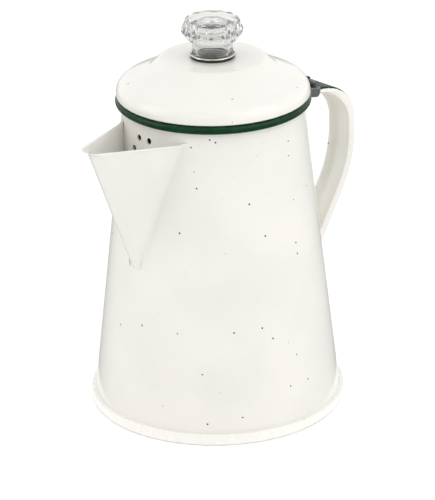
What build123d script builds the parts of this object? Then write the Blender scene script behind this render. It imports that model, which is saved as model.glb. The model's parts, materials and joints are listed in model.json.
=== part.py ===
from build123d import *
import os
from math import asin, atan, cos, degrees, hypot, pi, radians, sin, tan

# Stove-top coffee percolator in enamelled sheet steel, for camping.
# Millimetres. +Z is up and the origin is on the ground, on the axis of the pot.
# The spout points to -X and the handle to +X.

# --- pot -------------------------------------------------------------------
SHEET = 1.0                # enamelled sheet, steel and both coats
CHIME_R = 73.65            # folded seam round the foot
CHIME_H = 6.2
CHIME_LIP = 1.0            # folded metal under the wall's lower edge
FLOOR_Z = 2.2              # underside of the raised floor
CHIME_LOW_BEND_R = 1.1
CHIME_TOP_BEND_R = 0.95
FOOT_INNER_R = 69.0        # inner edge of the ring that the pot stands on
FOOT_BEND_R = 1.2
WALL_FOOT_R = 71.1         # outside of the wall where it leaves the seam
WALL_TOP_R = 50.91         # outside of the wall just under the rim
WALL_TOP_Z = 179.5
BEAD_R = 2.4               # rim rolled round a wire
BEAD_RING_R = 52.82
BEAD_Z = 181.5

# --- spout -----------------------------------------------------------------
SPOUT_NOSE_X = -90.9       # front of the body, carried on up to the height of the tip
SPOUT_NOSE_R = 9.8
SPOUT_TIP_Z = 173.9
SPOUT_ROOT_X = -45.0       # where the top edges reach the wall
SPOUT_ROOT_Z = 172.1
SPOUT_FOOT_X = -60.5       # lowest point, on the wall
SPOUT_FOOT_R = 6.7         # nose radius there, so that the foot of the V is round
SPOUT_FOOT_Z = 94.0
SPOUT_HALF_ANGLE = 23.0    # half of the V, seen from above
SPOUT_SHEET = 1.0
SPOUT_START = 1.0          # the folded sheet begins this far above the V's foot
SPOUT_FLOOR = 7.0          # solid bottom of the V, where the two sides run together
LIP_TIP_X = -95.15         # pouring lip, turned out round the top
LIP_NOSE_R = 7.9
LIP_HEIGHT = 3.6
LIP_SPARE = 0.1            # taken off again by the slope of the top edge
HEM_PROUD = 0.55           # hemmed top edge
HEM_DEPTH = 1.4
STRAINER_HOLE_R = 1.75
STRAINER_ROWS = (2, 3, 4, 3, 2)
STRAINER_TOP_Z = 170.1
STRAINER_PITCH = 8.2
STRAINER_ROW_DROP = 7.1

# --- handle ----------------------------------------------------------------
STRAP_HALF_W = 8.75
STRAP_SHEET = 1.2
STRAP_EDGE_R = 2.5
STRAP_OUT_X = 105.2        # outermost point
STRAP_DEPTH = 5.8          # depth of the channel down the grip
STRAP_TOP_SLOPE = 0.2      # fall per millimetre along the top
STRAP_TOP_Z = 164.56       # height where the top line would reach STRAP_OUT_X
STRAP_KNEE_Z = 118.25      # height where the lower leg's line would reach it
STRAP_LEG_DIR = (-0.5195, -0.8545)
STRAP_SHOULDER_R = 25.7
STRAP_BELLY_R = 66.7
STRAP_THIN_TOP = 3.2       # depth of the channel under the hinge
STRAP_BURIED = 5.0         # the strap's line starts this far inside the wall
STRAP_LEG_REACH = 90.0

# --- lid hinge -------------------------------------------------------------
HINGE_X = 71.2             # where the hinge sits on the handle's top
CLIP_SHEET = 0.9
CLIP_FRONT = -4.2
CLIP_BACK = 3.8
CLIP_EAR_DROP = 5.0
CLIP_BEND_R = 0.3
CLIP_EAR_R = 2.2
CLIP_WINDOW = 3.2          # cut in the saddle under the leaf's knuckle
KNUCKLE_R = 2.1
KNUCKLE_RISE = 2.6         # pin axis above the handle's top
PIN_R = 1.0
PIN_PLAY = 0.05
PIN_HEAD_R = 1.45
PIN_HEAD_H = 0.6
LEAF_HALF_W = 3.4          # the leaf's own knuckle
KNUCKLE_GAP = 0.3
LEAF_ROOT_HALF_W = 7.0     # where the leaf meets the lid
LEAF_SHEET = 0.9
LEAF_GAP = 0.05            # between the leaf's tab and the lid
TAB_START = 0.8            # tab's lower edge above the brim
TAB_ARC_DEG = 30.0
WEB_START = 0.35           # the web leaves the tab this far off the brim
WEB_RISE = 1.7
WEB_REACH = 3.6
WEB_BEND_R = 1.6
WEB_NARROWS = 7.5          # distance from the pin where the web narrows to its knuckle
HEEL_IN = 1.1              # heel on the knuckle that meets the saddle and stops the lid
HEEL_OUT = 3.0
HEEL_SHEET = 0.9
HEEL_SPARE_DEG = 13.0
LID_OPEN_DEG = 110
RIVET_R = 1.0
RIVET_RISE = 3.0           # above the brim
RIVET_Y = 4.3
RIVET_HEAD_R = 1.7
RIVET_HEAD_H = 0.9
RIVET_HEAD_EDGE = 0.6
RIVET_TAIL_R = 1.5
RIVET_TAIL_H = 0.7
RIVET_GRIP = 0.3           # shank inside each head

# --- lid -------------------------------------------------------------------
BRIM_R = 54.6
BRIM_Z = 184.2
SHOULDER_R = 8.0
DOME_START = (50.03, 193.43)
DOME_SLOPE_DEG = 25.4
BOSS_FOOT = (36.4, 199.9)
BOSS_EDGE = (29.4, 206.1)
BOSS_Z = 206.1
LID_HOLE_R = 10.6
BRIM_TURN_IN = 4.2
BRIM_BEND_R = 1.3
BOSS_FOOT_R = 5.0
BOSS_EDGE_R = 3.6
PLUG_R = 47.4              # skirt that drops into the mouth
PLUG_SHEET = 0.8
PLUG_LOW_Z = 177.8
PLUG_FLANGE = 5.0
PLUG_BEND_R = 0.6
COLLAR_R = 12.9
COLLAR_SHEET = 0.6
COLLAR_TOP_Z = 208.4
FLARE_R = 12.8
COLLAR_BEND_R = 0.8
LUG_GAP_W = 5.6            # gap in the ferrule that lets one of the knob's lugs through
LUG_GAP_DEEP = 0.9

# --- knob ------------------------------------------------------------------
KNOB_TOP_Z = 228.6
KNOB_TOP_R = 14.9
KNOB_GIRTH_R = 17.75
KNOB_GIRTH_Z = 221.6
KNOB_UNDER_R = 14.4
KNOB_UNDER_Z = 217.0
KNOB_NECK_R = 11.4
KNOB_BORE_R = 8.6
KNOB_BORE_TOP = 223.4
KNOB_LOW_Z = 202.4
KNOB_FLANGE_TOP_Z = 210.4  # the knob's own flange stands a little above its ferrule
KNOB_FLANGE_SLOPE = 1.2
KNOB_NECK_FLARE = 1.6
KNOB_EDGE_R = 0.4
KNOB_SOFT_R = 1.0
FLUTES = 12
FLUTE_R = 4.6
FLUTE_BITE = 0.95
FLUTE_LENGTH = 24.0
KNOB_PLAY = 0.05           # between the knob and its ferrule
KNOB_FLANGE_PLAY = 0.08
KNOB_CROWN_DOME = 0.3
BORE_DOME = 0.6
BORE_R = 3.0
LUG_W = 5.0
LUG_PROUD = 0.8
LUG_ROOT = 0.2
LUG_PLAY = 0.1

# --- pump and basket -------------------------------------------------------
TUBE_R = 4.75
TUBE_SHEET = 0.7
TUBE_TOP_Z = 194.0
TUBE_START = 8.0           # the tube's foot inside the bell, above the bell's rim
BELL_R = 28.0
BELL_LOW_Z = 3.4
BELL_SHEET = 0.8
BELL_RIM = (1.0, 3.5, 3.0)        # drawn in, height above the rim, bend radius
BELL_SHOULDER = (6.0, 12.5, 8.0)  # out from the tube, height above the rim, bend radius
BELL_NECK = (19.0, 4.0)           # height above the rim, bend radius
BELL_TOP = 27.0
BELL_NOTCHES = 4
NOTCH_W = 7.0
NOTCH_H = 1.5
STOP_Z = 113.0
STOP_H = 2.4
STOP_R = 7.8
STOP_EDGE_R = 0.8
BASKET_R = 36.0
BASKET_LOW_Z = 115.7
BASKET_TOP_Z = 171.6
BASKET_SHEET = 0.6
BASKET_BEND_R = 3.0
BASKET_LIP_R = 0.75
BASKET_HOLE_R = 0.95
BASKET_HOLE_PITCH = 4.8
BASKET_RINGS = (11, 17, 23, 29)
SIDE_HOLE_ROWS = 3
SIDE_HOLES_PER_ROW = 36
SIDE_HOLE_Z = 7.0          # lowest row above the basket's floor
SIDE_ROW_STEP = 5.0
SLEEVE_R = 5.9
SLEEVE_BELOW_LIP = 4.0
SPREADER_R = 37.6
SPREADER_Z = 173.0
SPREADER_SKIRT = 4.0
SPREADER_DISH = 1.6
SPREADER_COLLAR_H = 6.0
SPREADER_RIM_W = 4.0       # flat rim round the dished middle
SPREADER_DISH_RUN = 2.5
SPREADER_BEND_R = 1.2
SPREADER_DISH_R = 1.0
SPREADER_HOLE_R = 0.8
SPREADER_HOLE_PITCH = 4.6
SPREADER_RINGS = (11.5, 16.5, 21.5, 26.5)
SLEEVE_PLAY = 1.0
DRILL = 6.0                # length of the drill bodies that cut the small holes


def unit(v):
    length = hypot(v[0], v[1])
    return (v[0] / length, v[1] / length)


def minus(a, b):
    return (a[0] - b[0], a[1] - b[1])


def along(p, direction, distance):
    return (p[0] + direction[0] * distance, p[1] + direction[1] * distance)


def rounded_edges(path):
    """Edges of an open path of (x, y, radius) corners, each corner rounded to its radius."""
    edges = []
    here = path[0][:2]
    for before, corner, after in zip(path, path[1:], path[2:]):
        radius = corner[2]
        if radius <= 0:
            edges.append(Line(here, corner[:2]))
            here = corner[:2]
            continue
        back = unit(minus(before, corner))
        ahead = unit(minus(after, corner))
        half = asin(hypot(*minus(back, ahead)) / 2)
        start = along(corner, back, radius / tan(half))
        end = along(corner, ahead, radius / tan(half))
        bisector = unit((back[0] + ahead[0], back[1] + ahead[1]))
        middle = along(corner, bisector, radius / sin(half) - radius)
        if hypot(*minus(start, here)) > 1e-6:
            edges.append(Line(here, start))
        edges.append(ThreePointArc(start, middle, end))
        here = end
    if hypot(*minus(path[-1], here)) > 1e-6:
        edges.append(Line(here, path[-1][:2]))
    return edges


def offset_path(path, distance):
    """The same path moved to its left, with its corner radii kept concentric."""
    moved = []
    for i, point in enumerate(path):
        to_here = unit(minus(point, path[i - 1])) if i else unit(minus(path[1], point))
        onward = unit(minus(path[i + 1], point)) if i + 1 < len(path) else to_here
        n1 = (-to_here[1], to_here[0])
        n2 = (-onward[1], onward[0])
        mitre = distance / (1 + n1[0] * n2[0] + n1[1] * n2[1])
        turn_left = to_here[0] * onward[1] - to_here[1] * onward[0] > 0
        radius = point[2]
        if radius > 0:
            radius = max(radius - distance, 0) if turn_left else radius + distance
        x = point[0] + (n1[0] + n2[0]) * mitre
        y = point[1] + (n1[1] + n2[1]) * mitre
        moved.append((x, y, radius))
    return moved


def outline_face(path):
    """Face inside a closed outline of (x, y, radius) corners; the first and last corners stay sharp."""
    return make_face(rounded_edges(path) + [Line(path[-1][:2], path[0][:2])])


def between(path_a, path_b):
    """Face between two open paths that run the same way."""
    edges = rounded_edges(path_a) + rounded_edges(path_b)
    for a, b in ((path_a[0], path_b[0]), (path_a[-1], path_b[-1])):
        if hypot(*minus(a, b)) > 1e-6:
            edges.append(Line(a[:2], b[:2]))
    return make_face(edges)


def band(path, thickness):
    """Sheet of the given thickness on the left of a path."""
    return between(path, offset_path(path, thickness))


def spin(face, arc=360.0):
    """Body of revolution of a face drawn as radius and height, centred on +X for a part turn."""
    placed = Plane.XZ * face
    if arc == 360.0:
        return revolve(placed, Axis.Z)
    return Rot(0, 0, -arc / 2) * revolve(placed, Axis.Z, revolution_arc=arc)


def slab(face, half_width):
    """Face drawn in X and Z, given a width across Y."""
    return extrude(Plane.XZ * face, amount=half_width, both=True)


def tube_between(outer_r, inner_r, low, high):
    ring = Circle(outer_r) - Circle(inner_r)
    return extrude(Pos(0, 0, low) * ring, amount=high - low)


def wall_r(z):
    """Outside radius of the pot's wall at a height."""
    slope = (WALL_FOOT_R - WALL_TOP_R) / (WALL_TOP_Z - CHIME_H)
    return WALL_FOOT_R - (z - CHIME_H) * slope


def pot_envelope():
    """Solid cone of the wall's outside, used to trim what is welded to it."""
    top = BEAD_Z
    outline = [(0, 0), (wall_r(0), 0), (wall_r(top), top), (0, top)]
    return spin(make_face(Polyline(*outline, close=True)))


def strainer_holes():
    holes = []
    for row, count in enumerate(STRAINER_ROWS):
        z = STRAINER_TOP_Z - row * STRAINER_ROW_DROP
        step = degrees(STRAINER_PITCH / wall_r(z))
        for i in range(count):
            azimuth = 180 + (i - (count - 1) / 2) * step
            drill = Rot(0, 0, azimuth) * Pos(wall_r(z), 0, z) * Rot(0, 90, 0)
            holes.append(drill * Cylinder(STRAINER_HOLE_R, 8 * SHEET))
    return holes


def pot_wall():
    low = CHIME_LIP
    high = BEAD_Z
    outside = [(wall_r(low), low, 0), (wall_r(high), high, 0)]
    sheet = spin(between(outside, [(r - SHEET, z, 0) for r, z, _ in outside]))
    return sheet - rim_bead() - strainer_holes()


def rim_bead():
    return spin(Pos(BEAD_RING_R, BEAD_Z) * Circle(BEAD_R))


def base_pan():
    floor_top = FLOOR_Z + SHEET
    outline = [
        (0, FLOOR_Z, 0),
        (FOOT_INNER_R - FLOOR_Z, FLOOR_Z, FOOT_BEND_R),
        (FOOT_INNER_R, 0, 0),
        (CHIME_R, 0, CHIME_LOW_BEND_R),
        (CHIME_R, CHIME_H, CHIME_TOP_BEND_R),
        (wall_r(CHIME_H), CHIME_H, 0),
        (wall_r(CHIME_LIP), CHIME_LIP, 0),
        (wall_r(CHIME_LIP) - SHEET, CHIME_LIP, 0),
        (wall_r(floor_top) - SHEET, floor_top, 0),
        (0, floor_top, 0),
    ]
    return spin(outline_face(outline))


def spout_outline(z, nose_x, nose_r, inset):
    """The V of the spout at a height, open end inside the pot, moved in by inset."""
    half = radians(SPOUT_HALF_ANGLE)
    corner_x = nose_x - nose_r * (1 / sin(half) - 1) + inset / sin(half)
    back_x = SPOUT_ROOT_X / 2
    back_y = (back_x - corner_x) * tan(half)
    path = [(back_x, -back_y, 0), (corner_x, 0, nose_r - inset), (back_x, back_y, 0)]
    return Pos(0, 0, z) * outline_face(path)


def body_outline(z, inset):
    """The spout's V below the lip, where it tapers towards its foot."""
    share = (z - SPOUT_FOOT_Z) / (SPOUT_TIP_Z - SPOUT_FOOT_Z)
    nose_x = SPOUT_FOOT_X + share * (SPOUT_NOSE_X - SPOUT_FOOT_X)
    nose_r = SPOUT_FOOT_R + share * (SPOUT_NOSE_R - SPOUT_FOOT_R)
    return spout_outline(z, nose_x, nose_r, inset)


def spout_body(inset, low):
    lip_low = SPOUT_TIP_Z - LIP_HEIGHT
    return loft([body_outline(low, inset), body_outline(lip_low, inset)], ruled=True)


def spout_lip(inset):
    lip_top = spout_outline(SPOUT_TIP_Z + LIP_SPARE, LIP_TIP_X, LIP_NOSE_R, inset)
    return loft([body_outline(SPOUT_TIP_Z - LIP_HEIGHT, inset), lip_top], ruled=True)


def spout_top_plane(drop):
    rise = (LIP_TIP_X - SPOUT_ROOT_X, SPOUT_TIP_Z - SPOUT_ROOT_Z)
    return Plane(origin=(SPOUT_ROOT_X, 0, SPOUT_ROOT_Z - drop), z_dir=(rise[1], 0, -rise[0]))


def spout():
    low = SPOUT_FOOT_Z + SPOUT_START
    shell = spout_body(0, low) + spout_lip(0)
    shell = split(shell, bisect_by=spout_top_plane(0), keep=Keep.BOTTOM)
    hem = split(spout_lip(-HEM_PROUD), bisect_by=spout_top_plane(0), keep=Keep.BOTTOM)
    hem = split(hem, bisect_by=spout_top_plane(HEM_DEPTH), keep=Keep.TOP)
    trough = spout_body(SPOUT_SHEET, low + SPOUT_FLOOR) + spout_lip(SPOUT_SHEET)
    return shell + hem - trough - pot_envelope()


def strap_path():
    """Outer line of the handle in X and Z, from the rim down to the belly of the pot."""
    start_x = WALL_TOP_R - STRAP_BURIED
    top_start = STRAP_TOP_Z + (STRAP_OUT_X - start_x) * STRAP_TOP_SLOPE
    leg = along((STRAP_OUT_X, STRAP_KNEE_Z), STRAP_LEG_DIR, STRAP_LEG_REACH)
    return [
        (start_x, top_start, 0),
        (STRAP_OUT_X, STRAP_TOP_Z, STRAP_SHOULDER_R),
        (STRAP_OUT_X, STRAP_KNEE_Z, STRAP_BELLY_R),
        (leg[0], leg[1], 0),
    ]


def strap_free_edge():
    """Line of the flanges' free edges: shallow under the hinge, deeper down the grip."""
    outer = strap_path()
    deep = offset_path(outer, -STRAP_DEPTH)
    top_drop = STRAP_THIN_TOP * hypot(1, STRAP_TOP_SLOPE)
    top_z = STRAP_TOP_Z - top_drop + STRAP_DEPTH * STRAP_TOP_SLOPE
    start = (outer[0][0], outer[0][1] - top_drop, 0)
    corner = (STRAP_OUT_X - STRAP_DEPTH, top_z, STRAP_SHOULDER_R - STRAP_DEPTH)
    return [start, corner, deep[2], deep[3]]


def handle():
    line = Wire(rounded_edges(strap_path()))
    line = Plane.XZ * line
    inner_z = -STRAP_DEPTH
    channel = [
        (-STRAP_HALF_W, inner_z, 0),
        (-STRAP_HALF_W, 0, STRAP_EDGE_R),
        (STRAP_HALF_W, 0, STRAP_EDGE_R),
        (STRAP_HALF_W, inner_z, 0),
    ]
    across = Plane(origin=line @ 0, x_dir=(0, 1, 0), z_dir=line % 0)
    strap = sweep(across * band(channel, -STRAP_SHEET), path=line)
    beyond = offset_path(strap_path(), -2.5 * STRAP_DEPTH)
    strap -= slab(between(strap_free_edge(), beyond), 2 * STRAP_HALF_W)
    return strap - pot_envelope()


def hinge_place():
    """Local frame on the handle's top at the hinge: x outwards along it, z off it."""
    top_z = STRAP_TOP_Z + (STRAP_OUT_X - HINGE_X) * STRAP_TOP_SLOPE
    return Pos(HINGE_X, 0, top_z) * Rot(0, degrees(atan(STRAP_TOP_SLOPE)), 0)


def cross_rod(radius, half_length):
    return Rot(90, 0, 0) * Cylinder(radius, 2 * half_length)


def hinge_bracket():
    outside_y = STRAP_HALF_W + CLIP_SHEET
    length = CLIP_BACK - CLIP_FRONT
    middle = (CLIP_BACK + CLIP_FRONT) / 2
    saddle_path = [
        (-STRAP_HALF_W, -CLIP_EAR_DROP, 0),
        (-STRAP_HALF_W, 0, CLIP_BEND_R),
        (STRAP_HALF_W, 0, CLIP_BEND_R),
        (STRAP_HALF_W, -CLIP_EAR_DROP, 0),
    ]
    saddle = extrude(Plane.YZ * band(saddle_path, CLIP_SHEET), amount=length / 2, both=True)
    saddle = Pos(middle, 0, 0) * saddle
    ear_corners = saddle.edges().filter_by(Axis.Y).group_by(Axis.Z)[0]
    saddle = fillet(ear_corners, CLIP_EAR_R)
    knuckle_y = LEAF_HALF_W + KNUCKLE_GAP
    half = (outside_y - knuckle_y) / 2
    axis = Pos(0, 0, KNUCKLE_RISE)
    window = Pos(0, 0, CLIP_SHEET / 2) * Box(CLIP_WINDOW, 2 * knuckle_y, 3 * CLIP_SHEET)
    saddle -= window
    for side in (-1, 1):
        saddle += Pos(0, side * (knuckle_y + half), 0) * axis * cross_rod(KNUCKLE_R, half)
    saddle -= axis * cross_rod(PIN_R, 2 * STRAP_HALF_W)
    return hinge_place() * saddle


def hinge_pin():
    shank_half = STRAP_HALF_W + CLIP_SHEET
    half_head = PIN_HEAD_H / 2
    pin = cross_rod(PIN_R, shank_half + half_head)
    for side in (-1, 1):
        pin += Pos(0, side * (shank_half + half_head), 0) * cross_rod(PIN_HEAD_R, half_head)
    return hinge_place() * Pos(0, 0, KNUCKLE_RISE) * pin


def hinge_axis():
    """Global X and Z of the pin."""
    centre = (hinge_place() * Pos(0, 0, KNUCKLE_RISE)).position
    return centre.X, centre.Z


def leaf_tab():
    """Curved tab of the leaf that lies on the lid's shoulder."""
    centre = (BRIM_R - SHOULDER_R, DOME_START[1] - SHOULDER_R * cos(radians(DOME_SLOPE_DEG)))
    radius = SHOULDER_R + LEAF_GAP
    sweep_angle = radians(TAB_ARC_DEG)
    corner_z = centre[1] + radius * tan(sweep_angle / 2)
    end = (centre[0] + radius * cos(sweep_angle), centre[1] + radius * sin(sweep_angle))
    tab_r = BRIM_R + LEAF_GAP
    path = [(tab_r, BRIM_Z + TAB_START, 0), (tab_r, corner_z, radius), (end[0], end[1], 0)]
    arc = 2 * degrees(asin(LEAF_ROOT_HALF_W / BRIM_R))
    return spin(band(path, -LEAF_SHEET), arc)


def tangent_point(start, centre, radius):
    """Point of a circle where a line from start touches it, on the upper side."""
    run = minus(start, centre)
    tilt = asin(radius / hypot(*run))
    steep = unit(run)
    x = steep[0] * sin(tilt) + steep[1] * cos(tilt)
    z = steep[1] * sin(tilt) - steep[0] * cos(tilt)
    return along(centre, (x, z), radius)


def leaf_web(pin_x, pin_z):
    """Bent strip from the tab on the lid down to the knuckle, narrower near the pin."""
    lip_z = BRIM_Z + WEB_RISE
    bend = (BRIM_R + WEB_REACH, lip_z)
    touch = tangent_point(bend, (pin_x, pin_z), KNUCKLE_R)
    path = [(BRIM_R + WEB_START, lip_z, 0), (*bend, WEB_BEND_R), (*touch, 0)]
    web = slab(band(path, -LEAF_SHEET), LEAF_ROOT_HALF_W)
    cut = 2 * WEB_NARROWS + 2 * KNUCKLE_R
    trim = Box(cut, 2 * LEAF_ROOT_HALF_W, 2 * cut)
    for side in (-1, 1):
        trim_y = side * (LEAF_HALF_W + LEAF_ROOT_HALF_W)
        web -= Pos(pin_x - WEB_NARROWS + cut / 2, trim_y, pin_z) * trim
    return web - extrude(Circle(BRIM_R + LEAF_GAP), amount=2 * BOSS_Z)


def leaf_heel():
    """Small heel on the knuckle that comes down on the bracket's saddle when the lid is open."""
    stop_from_axle = degrees(asin((KNUCKLE_RISE - CLIP_SHEET) / HEEL_OUT))
    stop_angle = LID_OPEN_DEG + HEEL_SPARE_DEG - stop_from_axle
    length = HEEL_OUT - HEEL_IN
    heel = Pos(HEEL_IN + length / 2, 0, 0) * Box(length, 2 * LEAF_HALF_W, HEEL_SHEET)
    return Rot(0, degrees(atan(STRAP_TOP_SLOPE)) - stop_angle, 0) * heel


def hinge_leaf():
    pin_x, pin_z = hinge_axis()
    at_pin = Pos(pin_x, 0, pin_z)
    knuckle = cross_rod(KNUCKLE_R, LEAF_HALF_W)
    leaf = leaf_web(pin_x, pin_z) + leaf_tab() + at_pin * knuckle + at_pin * leaf_heel()
    return leaf - at_pin * cross_rod(PIN_R + PIN_PLAY, 2 * LEAF_HALF_W) - leaf_rivets()


def radial_rod(radius, low_x, high_x):
    """Short rod along X between two distances from the pot's axis."""
    return Pos((low_x + high_x) / 2, 0, 0) * Rot(0, 90, 0) * Cylinder(radius, high_x - low_x)


def leaf_rivets():
    """Two rivets through the leaf's tab and the lid's shoulder."""
    rivets = []
    outside = BRIM_R + LEAF_GAP + LEAF_SHEET
    inside = BRIM_R - SHEET
    head = radial_rod(RIVET_HEAD_R, outside - LEAF_GAP, outside + RIVET_HEAD_H)
    head = fillet(head.edges().filter_by(GeomType.CIRCLE).sort_by(Axis.X)[-1], RIVET_HEAD_EDGE)
    tail = radial_rod(RIVET_TAIL_R, inside - RIVET_TAIL_H, inside + LEAF_GAP)
    rivet = radial_rod(RIVET_R, inside - RIVET_GRIP, outside + RIVET_GRIP) + head + tail
    for side in (-1, 1):
        turn = side * degrees(asin(RIVET_Y / BRIM_R))
        rivets.append(Rot(0, 0, turn) * Pos(0, 0, BRIM_Z + RIVET_RISE) * rivet)
    return rivets


def dome_path():
    """Outside of the lid from its turned-in brim up to the hole for the knob."""
    slope = tan(radians(DOME_SLOPE_DEG))
    shoulder_z = DOME_START[1] - (BRIM_R - DOME_START[0]) * slope
    return [
        (BRIM_R - BRIM_TURN_IN, BRIM_Z, 0),
        (BRIM_R, BRIM_Z, BRIM_BEND_R),
        (BRIM_R, shoulder_z, SHOULDER_R),
        (*BOSS_FOOT, BOSS_FOOT_R),
        (*BOSS_EDGE, BOSS_EDGE_R),
        (LID_HOLE_R, BOSS_Z, 0),
    ]


def lid_shell():
    return spin(band(dome_path(), SHEET)) - leaf_rivets()


def lid_plug():
    """Skirt spot-welded inside the brim; it centres the lid in the mouth."""
    seat = BRIM_Z + SHEET
    path = [
        (PLUG_R + PLUG_FLANGE, seat, 0),
        (PLUG_R, seat, PLUG_BEND_R),
        (PLUG_R, PLUG_LOW_Z, 0),
    ]
    return spin(band(path, -PLUG_SHEET))


def knob_collar():
    """Ferrule crimped into the lid's hole, with two gaps that let the knob's lugs through."""
    under = BOSS_Z - SHEET
    path = [
        (FLARE_R, under, 0),
        (LID_HOLE_R, under, 0),
        (LID_HOLE_R, BOSS_Z, 0),
        (COLLAR_R, BOSS_Z, COLLAR_BEND_R),
        (COLLAR_R, COLLAR_TOP_Z, 0),
    ]
    ring = spin(band(path, COLLAR_SHEET))
    low = under - 2 * COLLAR_SHEET
    high = BOSS_Z + COLLAR_SHEET
    reach = LID_HOLE_R + LUG_GAP_DEEP
    strip = Pos(0, 0, (low + high) / 2) * Box(2 * reach, LUG_GAP_W, high - low)
    return ring - (strip & tube_between(reach, LID_HOLE_R - 2 * LUG_GAP_DEEP, low, high))


def knob_outline():
    seat = BOSS_Z + COLLAR_SHEET + KNOB_PLAY
    skirt_r = LID_HOLE_R - COLLAR_SHEET - KNOB_PLAY
    flange_r = COLLAR_R - COLLAR_SHEET - KNOB_FLANGE_PLAY
    return [
        (KNOB_BORE_R, KNOB_LOW_Z, 0),
        (skirt_r, KNOB_LOW_Z, KNOB_EDGE_R),
        (skirt_r, seat, 0),
        (flange_r, seat, KNOB_EDGE_R),
        (flange_r, KNOB_FLANGE_TOP_Z - KNOB_FLANGE_SLOPE, KNOB_SOFT_R),
        (KNOB_NECK_R, KNOB_FLANGE_TOP_Z, KNOB_SOFT_R),
        (KNOB_NECK_R, KNOB_UNDER_Z - KNOB_NECK_FLARE, KNOB_NECK_FLARE),
        (KNOB_UNDER_R, KNOB_UNDER_Z, KNOB_SOFT_R),
        (KNOB_GIRTH_R, KNOB_GIRTH_Z, KNOB_SOFT_R),
        (KNOB_TOP_R, KNOB_TOP_Z - KNOB_CROWN_DOME, KNOB_SOFT_R),
        (0, KNOB_TOP_Z, 0),
    ]


def knob_bore():
    return [
        (KNOB_BORE_R, KNOB_LOW_Z, 0),
        (KNOB_BORE_R, KNOB_BORE_TOP, BORE_R),
        (0, KNOB_BORE_TOP + BORE_DOME, 0),
    ]


def flute():
    """Cylinder that scoops one flute, leaning with the crown's side."""
    lean = degrees(atan((KNOB_GIRTH_R - KNOB_TOP_R) / (KNOB_TOP_Z - KNOB_GIRTH_Z)))
    reach = KNOB_GIRTH_R - FLUTE_BITE + FLUTE_R
    return Pos(reach, 0, KNOB_GIRTH_Z) * Rot(0, -lean, 0) * Cylinder(FLUTE_R, FLUTE_LENGTH)


def knob_lugs():
    """Two lugs that turn in under the ferrule and hold the knob."""
    top = BOSS_Z - SHEET - COLLAR_SHEET - LUG_PLAY
    ring = tube_between(LID_HOLE_R + LUG_PROUD, KNOB_BORE_R + LUG_ROOT, KNOB_LOW_Z + LUG_ROOT, top)
    bar = Pos(0, 0, top) * Box(LUG_W, 4 * KNOB_GIRTH_R, 2 * (top - KNOB_LOW_Z))
    return ring & bar


def knob():
    body = spin(between(knob_outline(), knob_bore()))
    for i in range(FLUTES):
        body -= Rot(0, 0, (i + 0.5) * 360 / FLUTES) * flute()
    return body + knob_lugs()


def pump_tube():
    return tube_between(TUBE_R, TUBE_R - TUBE_SHEET, BELL_LOW_Z + TUBE_START, TUBE_TOP_Z)


def pump_bell():
    """Foot that gathers the steam under it; notches at the rim let water in."""
    path = [
        (BELL_R, BELL_LOW_Z, 0),
        (BELL_R - BELL_RIM[0], BELL_LOW_Z + BELL_RIM[1], BELL_RIM[2]),
        (TUBE_R + BELL_SHOULDER[0], BELL_LOW_Z + BELL_SHOULDER[1], BELL_SHOULDER[2]),
        (TUBE_R, BELL_LOW_Z + BELL_NECK[0], BELL_NECK[1]),
        (TUBE_R, BELL_LOW_Z + BELL_TOP, 0),
    ]
    bell = spin(band(path, -BELL_SHEET))
    notch = Pos(BELL_R, 0, BELL_LOW_Z) * Box(NOTCH_W, NOTCH_W, 2 * NOTCH_H)
    for i in range(BELL_NOTCHES):
        bell -= Rot(0, 0, (i + 0.5) * 360 / BELL_NOTCHES) * notch
    return bell


def basket_stop():
    outline = [
        (TUBE_R, STOP_Z, 0),
        (STOP_R, STOP_Z, STOP_EDGE_R),
        (STOP_R, STOP_Z + STOP_H, STOP_EDGE_R),
        (TUBE_R, STOP_Z + STOP_H, 0),
    ]
    return spin(outline_face(outline))


def hole_rings(rings, pitch, hole_r, z):
    drills = []
    for ring_r in rings:
        count = int(2 * pi * ring_r / pitch)
        for i in range(count):
            drills.append(Rot(0, 0, i * 360 / count) * Pos(ring_r, 0, z) * Cylinder(hole_r, DRILL))
    return drills


def basket_cup():
    path = [
        (SLEEVE_R, BASKET_LOW_Z, 0),
        (BASKET_R, BASKET_LOW_Z, BASKET_BEND_R),
        (BASKET_R, BASKET_TOP_Z, 0),
    ]
    cup = spin(band(path, BASKET_SHEET))
    lip = spin(Pos(BASKET_R - BASKET_SHEET / 2, BASKET_TOP_Z) * Circle(BASKET_LIP_R))
    drills = hole_rings(BASKET_RINGS, BASKET_HOLE_PITCH, BASKET_HOLE_R, BASKET_LOW_Z)
    for row in range(SIDE_HOLE_ROWS):
        drill = Pos(BASKET_R, 0, BASKET_LOW_Z + SIDE_HOLE_Z + row * SIDE_ROW_STEP)
        drill = drill * Rot(0, 90, 0) * Cylinder(BASKET_HOLE_R, DRILL)
        for i in range(SIDE_HOLES_PER_ROW):
            turn = (i + 0.5 * (row % 2)) * 360 / SIDE_HOLES_PER_ROW
            drills.append(Rot(0, 0, turn) * drill)
    return cup + lip - drills


def basket_sleeve():
    return tube_between(SLEEVE_R, SLEEVE_R - BASKET_SHEET, BASKET_LOW_Z, BASKET_TOP_Z - SLEEVE_BELOW_LIP)


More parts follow.
